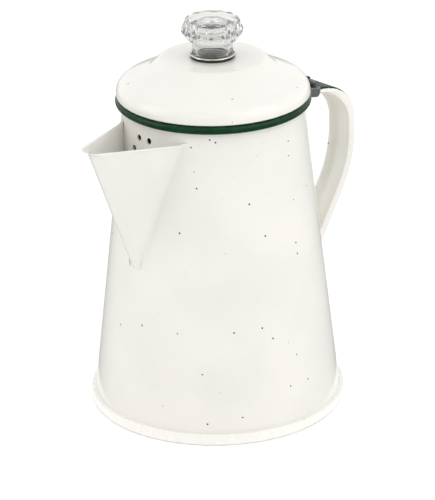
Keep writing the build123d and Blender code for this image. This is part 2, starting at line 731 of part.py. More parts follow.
def spreader():
    """Perforated cover of the basket, which spreads the water over the grounds."""
    collar_r = SLEEVE_R + SLEEVE_PLAY
    dish_z = SPREADER_Z - SPREADER_DISH
    path = [
        (SPREADER_R, SPREADER_Z - SPREADER_SKIRT, 0),
        (SPREADER_R, SPREADER_Z, SPREADER_BEND_R),
        (SPREADER_R - SPREADER_RIM_W, SPREADER_Z, SPREADER_DISH_R),
        (SPREADER_R - SPREADER_RIM_W - SPREADER_DISH_RUN, dish_z, SPREADER_DISH_R),
        (collar_r, dish_z, SPREADER_BEND_R),
        (collar_r, SPREADER_Z + SPREADER_COLLAR_H, 0),
    ]
    cover = spin(band(path, BASKET_SHEET))
    return cover - hole_rings(SPREADER_RINGS, SPREADER_HOLE_PITCH, SPREADER_HOLE_R, dish_z)


def main():
    nodes = {
        "pot_wall": pot_wall(),
        "rim_bead": rim_bead(),
        "base_pan": base_pan(),
        "spout": spout(),
        "handle": handle(),
        "hinge_bracket": hinge_bracket(),
        "hinge_pin": hinge_pin(),
        "hinge_leaf": hinge_leaf(),
        "leaf_rivets": Compound(children=leaf_rivets()),
        "lid_shell": lid_shell(),
        "lid_plug": lid_plug(),
        "knob_collar": knob_collar(),
        "knob": knob(),
        "pump_tube": pump_tube(),
        "pump_bell": pump_bell(),
        "basket_stop": basket_stop(),
        "basket_cup": basket_cup(),
        "basket_sleeve": basket_sleeve(),
        "spreader": spreader(),
    }
    os.makedirs("parts", exist_ok=True)
    for name, shape in nodes.items():
        export_step(shape, f"parts/{name}.step")


main()
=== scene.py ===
import json
from math import asin, atan2, cos, hypot, pi, radians, sin, sqrt, tan

import bpy
from mathutils import Matrix, Vector

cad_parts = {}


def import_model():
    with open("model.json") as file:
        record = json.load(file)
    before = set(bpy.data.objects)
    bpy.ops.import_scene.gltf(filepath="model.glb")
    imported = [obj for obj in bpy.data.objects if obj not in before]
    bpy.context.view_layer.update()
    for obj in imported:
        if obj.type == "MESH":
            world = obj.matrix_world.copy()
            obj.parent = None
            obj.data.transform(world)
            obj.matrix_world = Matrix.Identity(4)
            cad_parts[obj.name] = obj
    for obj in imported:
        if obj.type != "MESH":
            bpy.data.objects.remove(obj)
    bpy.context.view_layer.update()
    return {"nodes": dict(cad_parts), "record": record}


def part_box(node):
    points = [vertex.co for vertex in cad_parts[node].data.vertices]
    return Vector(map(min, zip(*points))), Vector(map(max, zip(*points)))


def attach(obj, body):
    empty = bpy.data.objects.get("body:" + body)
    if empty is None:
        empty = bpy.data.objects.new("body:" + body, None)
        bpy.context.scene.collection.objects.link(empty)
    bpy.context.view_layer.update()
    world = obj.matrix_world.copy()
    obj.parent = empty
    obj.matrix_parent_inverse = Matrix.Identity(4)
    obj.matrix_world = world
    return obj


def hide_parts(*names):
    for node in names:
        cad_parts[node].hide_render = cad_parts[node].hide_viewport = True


# Looks of an enamelled steel camping percolator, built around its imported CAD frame.
# Metres. Lengths of small features are named in millimetres and multiplied by MM.

MM = 0.001

# --- camera and studio -------------------------------------------------------
EYE = Vector((-0.9491, -1.0541, 0.6905))
AIM = Vector((0.0008, -0.0007, 0.0885))
CAMERA_ROLL = -0.0155
FOCAL_LENGTH_MM = 192.9
SENSOR_MM = 36.0
VIEW_AZIMUTH = -42.0        # degrees, the side that the camera stands on
CLIP_END = 50.0
FLOOR_HALF = 9.0
FLOOR_GLOW = 0.16
RING_INNER = 0.085
RING_OUTER = 2.5
RING_Z = 0.0004
RING_COLUMNS = 64
RING_GLOW = 0.38
ROOM_TURN = -22.0           # degrees from the camera's side to the middle of the darker room
ROOM_TILT = 12.0
ROOM_EDGE = (0.60, 0.95)    # cosines from that middle between which the room darkens
ROOM_LEVEL = 0.45
GLASS_DIMMING = -0.14       # added to what is seen through the glass
LIGHTS = (                  # name, degrees from the camera's side, degrees up, distance, width, height, watts
    ("key_right", 58.0, 38.0, 1.6, 1.2, 1.2, 4.2),
    ("front_soft", -24.0, 34.0, 1.7, 1.0, 1.0, 1.8),
    ("fill_left", -78.0, 30.0, 1.6, 1.0, 1.2, 3.4),
)

# --- pot ---------------------------------------------------------------------
WALL_FOOT_R = 71.1 * MM     # outside of the wall just over the foot seam
WALL_FOOT_Z = 6.2 * MM
WALL_TOP_R = 50.91 * MM
WALL_TOP_Z = 179.5 * MM

# --- spout -------------------------------------------------------------------
SPOUT_FOOT_X = -60.5 * MM
SPOUT_FOOT_Z = 94.0 * MM
SPOUT_FOOT_R = 6.7 * MM
SPOUT_NOSE_X = -90.9 * MM   # front of the body, carried on up to the height of the tip
SPOUT_NOSE_R = 9.8 * MM
SPOUT_TIP_Z = 173.9 * MM
SPOUT_ROOT_X = -45.0 * MM
SPOUT_ROOT_Z = 172.1 * MM
SPOUT_HALF_ANGLE = radians(23.0)
SPOUT_SHEET = 1.0 * MM
LIP_TIP_X = -95.1 * MM      # pouring lip, turned out round the top
LIP_NOSE_R = 7.9 * MM
LIP_HEIGHT = 3.6 * MM
LIP_SWEEP = 1.5             # 1 would be a straight flare
LIP_ROW_STEP = 0.1          # share of the lip's height between two rows
LIP_ROWS = 5
HEM_PROUD = 0.4 * MM
HEM_HEIGHT = 1.4 * MM
HEM_RUNOUT = 0.5 * MM       # plain sheet kept in the profile under the hem
HEM_UNDERSIDE = (           # height over the hem's lower edge, and share of its full stand
    (-0.1 * MM, 0.1),
    (0.2 * MM, 0.6),
    (0.45 * MM, 1.0),
)
HEM_STEPS = 8
WELD_R = 2.6 * MM           # enamel and weld that fill the corner against the wall
WELD_SINK = 0.35 * MM       # how far the edges reach into the wall
ROOT_CURL = 1.3 * MM        # the top edge climbs a little where it meets the wall
ROOT_REACH = 3.5 * MM       # distance from the wall over which it climbs
WELD_LEAST = 0.15           # the weld's size at the spout's foot, as a share
WELD_GROWS = 6.0
WELD_STEPS = 6
SIDE_STEPS = 12
NOSE_STEPS = 10
BODY_STEPS = 26
LEVELLING_ROUNDS = 4        # height and outline depend on each other, so they are worked out in turns
SPOUT_START = 0.018         # share of the height where the sheet begins
TROUGH_START = 0.115        # share of the height where the open trough begins

# --- handle ------------------------------------------------------------------
STRAP_HALF_W = 8.75 * MM
STRAP_SHEET = 1.2 * MM
STRAP_EDGE_R = 2.5 * MM
STRAP_TOP_SLOPE = 0.2
STRAP_TOP_Z = 164.56 * MM
STRAP_KNEE_Z = 118.25 * MM
STRAP_LEG = (-0.5195, -0.8545)  # direction (x, z) of the lower leg
STRAP_SHOULDER_R = 25.7 * MM
STRAP_BELLY_R = 66.7 * MM
STRAP_DEPTH = 5.8 * MM
STRAP_THIN_TOP = 3.2 * MM
STRAP_THIN_END = 30 * MM    # the strap stays thin so far, and deepens over the next stretch
STRAP_DEEPENING = 28 * MM
STRAP_FOLD = 3.0 * MM       # depth of the bend between the outer face and a flange
STRAP_START_SINK = 5 * MM
STRAP_LEG_LENGTH = 90 * MM
STRAP_WELD_SINK = 0.4 * MM  # how far the ends reach into the wall
STRAP_TOP_PART = 0.2        # the ends enter the wall before and after these shares of the line
STRAP_FOOT_PART = 0.6
STRAP_STATIONS = 150
LINE_STEPS = 40
LINE_STEP = 1.0 * MM
HALVINGS = 30
FOLD_STEPS = 7
EDGE_STEPS = 6
GREEN_DEPTH = 1.6 * MM

# --- knob and ferrule --------------------------------------------------------
KNOB_TOP_R = 14.9 * MM
KNOB_NECK_R = 11.4 * MM
KNOB_FLANGE_R = 12.15 * MM
KNOB_FLANGE_DROP = 18.2 * MM    # drops are measured down from the knob's top
KNOB_FLANGE_EDGE = 1.1 * MM
KNOB_GIRTH_DROP = 7.0 * MM
KNOB_UNDERSIDE_R = 14.4 * MM
KNOB_UNDERSIDE_DROP = 11.6 * MM
KNOB_NECK_DROP = 13.2 * MM
KNOB_SEAT_DROP = 1.65 * MM      # below the ferrule's top
KNOB_CROWN_R = 8.0 * MM
KNOB_CROWN_DROP = 0.12 * MM
KNOB_RIM_DROP = 0.3 * MM
KNOB_SPIGOT_R = 9.9 * MM
KNOB_BORE_R = 8.6 * MM
KNOB_BORE_DROP = 5.2 * MM
KNOB_BORE_MIDDLE_DROP = 4.6 * MM
KNOB_COLUMNS = 288
AXIS_R = 0.02 * MM              # a turned outline ends so close to its axis
FLUTES_END_DROP = 14.0 * MM
FLUTES_LEAST_R = 9.0 * MM
FLUTES = 12
FLUTE_R = 4.6 * MM
FLUTE_BITE = 1.25 * MM
ARRIS_SOFTNESS = 0.08 * MM
FERRULE_INNER_R = 10.6 * MM
FERRULE_SEAT_DROP = 2.28 * MM
FERRULE_WALL_INSET = 0.15 * MM
FERRULE_ROLL = 0.38 * MM
FERRULE_LAP = 0.14 * MM
FERRULE_FOOT = 0.5 * MM
FERRULE_COLUMNS = 160


# =============================== mesh helpers ================================
def unit(v):
    length = hypot(v[0], v[1])
    return (v[0] / length, v[1] / length)


def toward(p, direction, distance):
    return (p[0] + direction[0] * distance, p[1] + direction[1] * distance)


def rounded(path, steps=6):
    """Points along an open path of (x, y, radius) corners, each corner rounded in so many steps."""
    points = [path[0][:2]]
    for before, corner, after in zip(path, path[1:], path[2:]):
        radius = corner[2]
        if radius <= 0:
            points.append(corner[:2])
            continue
        back = unit((before[0] - corner[0], before[1] - corner[1]))
        ahead = unit((after[0] - corner[0], after[1] - corner[1]))
        half = asin(min(1.0, hypot(back[0] - ahead[0], back[1] - ahead[1]) / 2))
        bisector = unit((back[0] + ahead[0], back[1] + ahead[1]))
        centre = toward(corner, bisector, radius / sin(half))
        start = toward(corner, back, radius / tan(half))
        a0 = atan2(start[1] - centre[1], start[0] - centre[0])
        turn = pi - 2 * half
        left = back[0] * ahead[1] - back[1] * ahead[0] < 0
        for i in range(steps + 1):
            a = a0 + (turn if left else -turn) * i / steps
            points.append((centre[0] + radius * cos(a), centre[1] + radius * sin(a)))
    points.append(path[-1][:2])
    return points


def subdivided(points, longest):
    """The same line with its long runs cut into equal steps."""
    fine = [points[0]]
    for a, b in zip(points, points[1:]):
        cuts = max(1, int(hypot(b[0] - a[0], b[1] - a[1]) / longest + 0.999))
        for i in range(1, cuts + 1):
            fine.append((a[0] + (b[0] - a[0]) * i / cuts, a[1] + (b[1] - a[1]) * i / cuts))
    return fine


def new_piece(name, vertices, faces, smooth_angle=35.0):
    mesh = bpy.data.meshes.new(name)
    mesh.from_pydata(vertices, [], faces)
    mesh.update()
    mesh.validate()
    piece = bpy.data.objects.new(name, mesh)
    bpy.context.scene.collection.objects.link(piece)
    mesh.polygons.foreach_set("use_smooth", [True] * len(mesh.polygons))
    mesh.set_sharp_from_angle(angle=radians(smooth_angle))
    return piece


def grid_faces(rows, columns, wrap_rows, wrap_columns):
    faces = []
    for i in range(rows if wrap_rows else rows - 1):
        for j in range(columns if wrap_columns else columns - 1):
            a = i * columns + j
            b = i * columns + (j + 1) % columns
            c = ((i + 1) % rows) * columns + (j + 1) % columns
            d = ((i + 1) % rows) * columns + j
            faces.append((a, b, c, d))
    return faces


def lathe(name, outline, columns, bent=None, closed=True):
    """Turned piece through (radius, height) points; bent(angle, radius, height) may change the radius.
    A closed outline joins up with itself, and an open one ends on the axis at both ends."""
    vertices = []
    for radius, height in outline:
        for j in range(columns):
            angle = 2 * pi * j / columns
            r = bent(angle, radius, height) if bent else radius
            vertices.append((r * cos(angle), r * sin(angle), height))
    faces = grid_faces(len(outline), columns, closed, True)
    if not closed:
        last = (len(outline) - 1) * columns
        faces.append(tuple(range(columns))[::-1])
        faces.append(tuple(range(last, last + columns)))
    return new_piece(name, vertices, faces)


# ============================= material helpers ==============================
class Shade:
    """A node material under construction, with short calls for the nodes that it needs."""

    def __init__(self, name):
        self.material = bpy.data.materials.new(name)
        self.material.use_nodes = True
        self.tree = self.material.node_tree
        self.shader = self.tree.nodes["Principled BSDF"]
        self.place = self.add("ShaderNodeTexCoord").outputs["Object"]

    def add(self, kind, **settings):
        node = self.tree.nodes.new(kind)
        for key, value in settings.items():
            setattr(node, key, value)
        return node

    def join(self, source, socket):
        if hasattr(source, "links"):
            self.tree.links.new(source, socket)
        else:
            socket.default_value = source

    def fixed(self, **values):
        for key, value in values.items():
            self.shader.inputs[key.replace("_", " ")].default_value = value

    def noise(self, size, detail=2.0, roughness=0.5, place=None):
        """Noise from 0 to 1 with blots about size metres across."""
        node = self.add("ShaderNodeTexNoise")
        node.inputs["Scale"].default_value = 1.0 / size
        node.inputs["Detail"].default_value = detail
        node.inputs["Roughness"].default_value = roughness
        self.join(place or self.place, node.inputs["Vector"])
        return node.outputs["Fac"]

    def stretched(self, factors):
        node = self.add("ShaderNodeVectorMath", operation="MULTIPLY")
        self.join(self.place, node.inputs[0])
        node.inputs[1].default_value = factors
        return node.outputs["Vector"]

    def axis(self, name):
        node = self.add("ShaderNodeSeparateXYZ")
        self.join(self.place, node.inputs[0])
        return node.outputs[name]

    def math(self, operation, a, b=0.0):
        node = self.add("ShaderNodeMath", operation=operation)
        self.join(a, node.inputs[0])
        self.join(b, node.inputs[1])
        return node.outputs[0]

    def ramp(self, value, low, high, to_low=0.0, to_high=1.0):
        """Smooth step of value from low to high, mapped onto to_low to to_high."""
        node = self.add("ShaderNodeMapRange", interpolation_type="SMOOTHSTEP")
        self.join(value, node.inputs["Value"])
        node.inputs["From Min"].default_value = low
        node.inputs["From Max"].default_value = high
        node.inputs["To Min"].default_value = to_low
        node.inputs["To Max"].default_value = to_high
        return node.outputs["Result"]

    def mix(self, factor, a, b):
        node = self.add("ShaderNodeMix", data_type="RGBA")
        self.join(factor, node.inputs[0])
        for source, socket in ((a, node.inputs[6]), (b, node.inputs[7])):
            self.join(source if hasattr(source, "links") else (*source, 1.0), socket)
        return node.outputs[2]

    def specks(self, spacing, radius, share):
        """1 inside rare round specks, 0 elsewhere: one in each cell of a share of the cells."""
        node = self.add("ShaderNodeTexVoronoi")
        node.inputs["Scale"].default_value = 1.0 / spacing
        self.join(self.place, node.inputs["Vector"])
        size = radius / spacing
        spot = self.ramp(node.outputs["Distance"], 0.7 * size, size, 1.0, 0.0)
        pick = self.add("ShaderNodeSeparateColor")
        self.join(node.outputs["Color"], pick.inputs[0])
        chosen = self.math("LESS_THAN", pick.outputs[0], share)
        return self.math("MULTIPLY", spot, chosen)

    def relief(self, height, depth, after=None):
        """Bump of the given depth in metres from a height of 0 to 1."""
        node = self.add("ShaderNodeBump")
        node.inputs["Strength"].default_value = 1.0
        node.inputs["Distance"].default_value = depth
        self.join(height, node.inputs["Height"])
        if after is not None:
            self.join(after, node.inputs["Normal"])
        return node.outputs["Normal"]

    def attribute(self, name):
        node = self.add("ShaderNodeAttribute", attribute_name=name)
        return node.outputs["Fac"]

    def finish(self, colour=None, roughness=None, normal=None):
        for source, key in ((colour, "Base Color"), (roughness, "Roughness"), (normal, "Normal")):
            if source is not None:
                self.join(source, self.shader.inputs[key])
        return self.material


CREAM = (0.875, 0.855, 0.805)
CREAM_THIN = (0.825, 0.815, 0.765)
CREAM_WARM = (0.885, 0.850, 0.785)
# Paler cream that paints the floor's bounce light onto the foot
CREAM_PAINTED_BOUNCE = (0.96, 0.94, 0.88)
SPECK = (0.035, 0.033, 0.030)
GREEN = (0.0008, 0.030, 0.0085)
GREEN_THIN = (0.003, 0.062, 0.022)
GREEN_SPECK = (0.10, 0.22, 0.14)
WORN_STEEL = (0.30, 0.32, 0.30)
# Painted reflection of dark surroundings and a painted highlight, both for the ferrule
PAINTED_DARK_REFLECTION = (0.055, 0.052, 0.042)
PAINTED_HIGHLIGHT_STEEL = (0.82, 0.80, 0.74)
# Painted contact shadow along the foot's lowest edge
PAINTED_CONTACT_SHADOW = (0.16, 0.15, 0.14)
STAINLESS = (0.27, 0.28, 0.27)
ALUMINIUM = (0.62, 0.62, 0.61)
ALUMINIUM_BLOOM = (0.40, 0.40, 0.39)
CLEAR = (0.985, 0.990, 0.980)
CLEAR_DEEP = (0.955, 0.965, 0.950)
FLOOR_TONE = (0.90, 0.90, 0.90)
FLOOR_PALE = (0.93, 0.93, 0.93)
RING_DARK = (0.01, 0.01, 0.01)
RING_PALE = (0.03, 0.03, 0.03)
RING_LIGHT = (1.0, 0.98, 0.94, 1.0)
WHITE = (1.0, 1.0, 1.0, 1.0)


def cream_colour(s):
    """Off-white enamel, a little uneven in thickness, with sparse dark specks in the glaze."""
    cloudy = s.mix(s.ramp(s.noise(45 * MM, 3.0), 0.35, 0.68), CREAM, CREAM_THIN)
    warm = s.mix(s.ramp(s.noise(14 * MM, 4.0, 0.6), 0.55, 0.85, 0.0, 0.5), cloudy, CREAM_WARM)
    pits = s.mix(s.math("MULTIPLY", s.specks(3.1 * MM, 0.26 * MM, 0.16), 0.3), warm, SPECK)
    return s.mix(s.specks(7.4 * MM, 0.62 * MM, 0.42), pits, SPECK)


def enamel_relief(s):
    """Slow waves of the dipped coat and its fine orange peel."""
    waves = s.relief(s.noise(26 * MM, 1.0), 0.10 * MM)
    return s.relief(s.noise(2.6 * MM, 2.0), 0.004 * MM, waves)


def cream_enamel(name="cream_enamel"):
    s = Shade(name)
    s.fixed(Specular_IOR_Level=0.5, Coat_Weight=0.45, Coat_Roughness=0.06, IOR=1.52)
    dull = s.ramp(s.noise(18 * MM, 4.0), 0.3, 0.75, 0.17, 0.27)
    return s.finish(cream_colour(s), dull, enamel_relief(s))


def painted_steel():
    """Stainless leaf painted with the rim's green, with bare metal showing at worn spots."""
    s = Shade("painted_steel")
    s.fixed(Specular_IOR_Level=0.1, IOR=1.45)
    worn = s.ramp(s.noise(2.6 * MM, 4.0, 0.6), 0.66, 0.74)
    s.join(worn, s.shader.inputs["Metallic"])
    dull = s.ramp(s.noise(4 * MM, 3.0), 0.3, 0.7, 0.22, 0.4)
    colour = s.mix(worn, green_colour(s), WORN_STEEL)
    return s.finish(colour, dull, s.relief(s.math("SUBTRACT", 1.0, worn), 0.01 * MM))


def ferrule_steel(outer_r, top_z):
    """Polished steel with a painted highlight on the rolled top edge and the inner part of the ring. The wall
    under the edge is painted dark as a reflection of dark surroundings.
    """
    s = Shade("ferrule_steel")
    s.fixed(Metallic=1.0)
    uneven = s.math("ADD", s.axis("Z"), s.ramp(s.noise(2.5 * MM, 3.0), 0.2, 0.8, -0.12 * MM, 0.12 * MM))
    edge = s.ramp(uneven, top_z - 0.75 * MM, top_z - 0.35 * MM)
    radius = s.add("ShaderNodeVectorMath", operation="LENGTH")
    s.join(s.stretched((1.0, 1.0, 0.0)), radius.inputs[0])
    inside = s.ramp(radius.outputs["Value"], outer_r - 1.1 * MM, outer_r - 0.8 * MM, 1.0, 0.0)
    # Painted highlight on the top edge and the inner part; everything else is painted dark as a mirrored dark
    # surrounding
    highlit = s.math("MAXIMUM", edge, inside)
    dull = s.ramp(s.noise(1.5 * MM, 4.0), 0.3, 0.7, 0.08, 0.18)
    lines = s.noise(0.3 * MM, 2.0, 0.5, s.stretched((1.0, 1.0, 0.1)))
    return s.finish(s.mix(highlit, PAINTED_DARK_REFLECTION, PAINTED_HIGHLIGHT_STEEL), dull, s.relief(lines, 0.002 * MM))


def foot_enamel():
    """The pot's enamel on the foot, made paler as painted bounce light from the floor. A darker line of
    painted contact shadow runs along its lowest edge, which is also rougher from rubbing on the stove.
    """
    s = Shade("foot_enamel")
    s.fixed(Specular_IOR_Level=0.5, Coat_Weight=0.4, Coat_Roughness=0.08, IOR=1.52)
    ragged = s.math("ADD", s.axis("Z"), s.ramp(s.noise(3.5 * MM, 4.0), 0.2, 0.8, -0.2 * MM, 0.2 * MM))
    # Painted contact shadow: a darker line along the lowest edge. The roughness it adds there stands for
    # stove wear.
    shadow_and_rub = s.ramp(ragged, 0.15 * MM, 0.50 * MM, 0.75, 0.0)
    # Painted light: the foot is made paler for the light that the floor throws up onto it
    pale = s.mix(0.55, cream_colour(s), CREAM_PAINTED_BOUNCE)
    colour = s.mix(shadow_and_rub, pale, PAINTED_CONTACT_SHADOW)
    dull = s.math("ADD", s.ramp(s.noise(9 * MM, 4.0), 0.3, 0.75, 0.20, 0.32), s.math("MULTIPLY", shadow_and_rub, 0.4))
    return s.finish(colour, dull, s.relief(s.noise(7 * MM, 1.0), 0.02 * MM))


def green_colour(s):
    deep = s.mix(s.ramp(s.noise(6 * MM, 4.0, 0.6), 0.45, 0.8), GREEN, GREEN_THIN)
    return s.mix(s.math("MULTIPLY", s.specks(2.3 * MM, 0.2 * MM, 0.2), 0.5), deep, GREEN_SPECK)


def green_enamel():
    s = Shade("green_enamel")
    s.fixed(Specular_IOR_Level=0.10, Coat_Weight=0.28, Coat_Roughness=0.03, IOR=1.45)
    dull = s.ramp(s.noise(8 * MM, 3.0), 0.3, 0.75, 0.14, 0.24)
    return s.finish(green_colour(s), dull, enamel_relief(s))


def handle_enamel():
    """Cream enamel on the handle, with the green of its outer face ending raggedly at the folds."""
    s = Shade("handle_enamel")
    s.fixed(IOR=1.45)
    wobble = s.ramp(s.noise(5 * MM, 3.0), 0.3, 0.7, -0.16, 0.16)
    edge = s.ramp(s.math("ADD", s.attribute("green_face"), wobble), 0.45, 0.60)
    dull = s.ramp(s.noise(12 * MM, 3.0), 0.3, 0.75, 0.15, 0.25)
    s.join(s.ramp(edge, 0.0, 1.0, 0.45, 0.04), s.shader.inputs["Specular IOR Level"])
    return s.finish(s.mix(edge, cream_colour(s), green_colour(s)), dull, enamel_relief(s))


def steel(name, tone, dull_low, dull_high, grain, depth):
    """Stainless steel with a fine grain along one direction, smears and small scratches."""
    s = Shade(name)
    s.fixed(Metallic=1.0)
    lines = s.noise(0.35 * MM, 3.0, 0.6, s.stretched(grain))
    smear = s.noise(5 * MM, 4.0)
    light = tuple(c * 1.12 for c in tone)
    dark = tuple(c * 0.78 for c in tone)
    colour = s.mix(s.ramp(smear, 0.3, 0.7), dark, light)
    dull = s.math("ADD", s.ramp(smear, 0.25, 0.75, dull_low, dull_high), s.ramp(lines, 0.3, 0.7, 0.0, 0.08))
    return s.finish(colour, dull, s.relief(lines, depth))


def spun_aluminium():
    """Spun and drawn aluminium: fine turning rings, a soft grey bloom from boiling."""
    s = Shade("spun_aluminium")
    s.fixed(Metallic=1.0)
    rings = s.noise(0.5 * MM, 2.0, 0.5, s.stretched((0.04, 0.04, 1.0)))
    bloom = s.noise(11 * MM, 5.0, 0.6)
    colour = s.mix(s.ramp(bloom, 0.35, 0.75), ALUMINIUM, ALUMINIUM_BLOOM)
    dull = s.ramp(bloom, 0.3, 0.75, 0.24, 0.46)
    return s.finish(colour, dull, s.relief(rings, 0.008 * MM))


def clear_knob():
    """Clear moulded knob with faint flow waves and a slightly smeared surface."""
    s = Shade("clear_knob")
    s.fixed(Transmission_Weight=0.94, IOR=1.49, Specular_IOR_Level=0.5)
    tint = s.mix(s.ramp(s.noise(9 * MM, 2.0), 0.3, 0.7), CLEAR, CLEAR_DEEP)
    dull = s.ramp(s.noise(4 * MM, 4.0), 0.4, 0.8, 0.0, 0.05)
    return s.finish(tint, dull, s.relief(s.noise(3.5 * MM, 1.0), 0.012 * MM))


def floor_material():
    s = Shade("pale_floor")
    s.fixed(Emission_Color=WHITE, Emission_Strength=FLOOR_GLOW)
    tone = s.mix(s.noise(0.4, 3.0), FLOOR_TONE, FLOOR_PALE)
    return s.finish(tone, s.ramp(s.noise(0.1), 0.3, 0.7, 0.7, 0.8))


# =================================== pieces ==================================
def wall_r(z):
    return WALL_FOOT_R - (z - WALL_FOOT_Z) * (WALL_FOOT_R - WALL_TOP_R) / (WALL_TOP_Z - WALL_FOOT_Z)


def arc(centre, radius, start, end, steps):
    """Points of an arc after its start, up to and with its end."""
    angles = [start + (end - start) * i / steps for i in range(1, steps + 1)]
    return [(centre[0] + radius * cos(a), centre[1] + radius * sin(a)) for a in angles]


def spout_outline(z, inset, flare):
    """Half of the spout's V at a height: from the wall, round the weld, down the side and to the nose.
    Lists (x, y) for the side at +y. inset moves it inwards, and flare is the lip's share from 0 to 1."""
    share = (z - SPOUT_FOOT_Z) / (SPOUT_TIP_Z - SPOUT_FOOT_Z)
    half = SPOUT_HALF_ANGLE
    nose_x = SPOUT_FOOT_X + share * (SPOUT_NOSE_X - SPOUT_FOOT_X) + flare * (LIP_TIP_X - SPOUT_NOSE_X)
    nose_r = SPOUT_FOOT_R + share * (SPOUT_NOSE_R - SPOUT_FOOT_R) + flare * (LIP_NOSE_R - SPOUT_NOSE_R)
    vertex_x = nose_x - nose_r * (1 / sin(half) - 1) + inset / sin(half)
    nose_r -= inset
    side = (cos(half), sin(half))
    normal = (-sin(half), cos(half))
    weld = WELD_R * min(1.0, WELD_LEAST + share * WELD_GROWS) if inset <= 0 else 0.0
    # The weld's circle touches the side and the wall from outside.
    shifted = toward((vertex_x, 0.0), normal, weld)
    along = -(shifted[0] * side[0] + shifted[1] * side[1])
    off = shifted[0] * side[1] - shifted[1] * side[0]
    reach = wall_r(z) + weld
    centre = toward(shifted, side, along - sqrt(max(reach * reach - off * off, 0.0)))
    if weld > 0:
        to_axis = unit((-centre[0], -centre[1]))
        first = atan2(to_axis[1], to_axis[0])
        last = atan2(-normal[1], -normal[0])
        start = toward(centre, to_axis, weld)
        points = [toward(centre, to_axis, weld + WELD_SINK), start]
        points += arc(centre, weld, first, last, WELD_STEPS)
    else:
        sunk = [WELD_SINK * (1 - i / (WELD_STEPS + 1)) for i in range(WELD_STEPS + 2)]
        points = [toward(centre, side, deep) for deep in sunk]
    start = points[-1]
    touch = toward((vertex_x, 0.0), side, nose_r / tan(half))
    run = (touch[0] - start[0], touch[1] - start[1])
    points += [toward(start, run, i / SIDE_STEPS) for i in range(1, SIDE_STEPS + 1)]
    nose_centre = (vertex_x + nose_r / sin(half), 0.0)
    return points + arc(nose_centre, nose_r, pi / 2 + half, pi, NOSE_STEPS)


def spout_row(drop, inset):
    """Full outline at a drop below the top edge, on a plane that levels out towards the spout's foot."""
    level = 1 - drop / (SPOUT_ROOT_Z - SPOUT_FOOT_Z)
    flare = max(0.0, 1 - max(drop, 0.0) / LIP_HEIGHT) ** LIP_SWEEP
    slope = (SPOUT_TIP_Z - SPOUT_ROOT_Z) / (SPOUT_ROOT_X - LIP_TIP_X) * level
    base = SPOUT_ROOT_Z - drop
    heights = [base] * (WELD_STEPS + 2 + SIDE_STEPS + NOSE_STEPS)
    for _ in range(LEVELLING_ROUNDS):
        points = [spout_outline(z, inset, flare)[i] for i, z in enumerate(heights)]
        heights = []
        for x, y in points:
            near = max(0.0, 1 - max(hypot(x, y) - wall_r(base), 0.0) / ROOT_REACH)
            curl = ROOT_CURL * near * near * flare
            heights.append(base + slope * (SPOUT_ROOT_X - x) + curl)
    one_side = [(x, y, z) for (x, y), z in zip(points, heights)]
    other = [(x, -y, z) for x, y, z in one_side[:-1]]
    return one_side + other[::-1]


def hem_profile():
    """(drop, inset) round the spout's top: out under the hem, over it and down inside."""
    middle = (SPOUT_SHEET - HEM_PROUD) / 2
    half = (SPOUT_SHEET + HEM_PROUD) / 2
    profile = [(HEM_HEIGHT + HEM_RUNOUT, 0.0)]
    profile += [(HEM_HEIGHT - rise, -share * HEM_PROUD) for rise, share in HEM_UNDERSIDE]
    for i in range(HEM_STEPS + 1):
        a = pi * i / HEM_STEPS
        profile.append((half - half * sin(a), middle - half * cos(a)))
    return profile + [(HEM_HEIGHT + HEM_RUNOUT, SPOUT_SHEET)]


def spout():
    """Open trough folded from sheet and welded to the wall, its top edge turned out and hemmed."""
    lip = [LIP_HEIGHT * (1 - LIP_ROW_STEP * i) for i in range(LIP_ROWS)]
    foot = (SPOUT_ROOT_Z - SPOUT_FOOT_Z) * (1 - SPOUT_START)
    trough = (SPOUT_ROOT_Z - SPOUT_FOOT_Z) * (1 - TROUGH_START)
    outside = [foot + (lip[0] - foot) * i / BODY_STEPS for i in range(BODY_STEPS)]
    inside = [lip[0] + (trough - lip[0]) * i / BODY_STEPS for i in range(BODY_STEPS + 1)]
    drops = [(drop, 0.0) for drop in outside + lip]
    drops += hem_profile()
    drops += [(drop, SPOUT_SHEET) for drop in lip[:0:-1] + inside]
    rows = [spout_row(drop, inset) for drop, inset in drops]
    vertices = [p for row in rows for p in row]
    columns = len(rows[0])
    faces = grid_faces(len(rows), columns, True, False)
    first = [i * columns for i in range(len(rows))]
    last = [i * columns + columns - 1 for i in range(len(rows))]
    faces += strip_between(first)
    faces += [f[::-1] for f in strip_between(last)]
    return new_piece("spout_shell", vertices, faces, 50.0)


def strip_between(ring):
    """Faces that close a long thin ring of vertices by joining its two sides step by step."""
    faces = []
    i = 0
    j = len(ring) - 1
    while j - i >= 3:
        faces.append((ring[i], ring[i + 1], ring[j - 1], ring[j]))
        i += 1
        j -= 1
    if j - i == 2:
        faces.append((ring[i], ring[i + 1], ring[j]))
    return faces


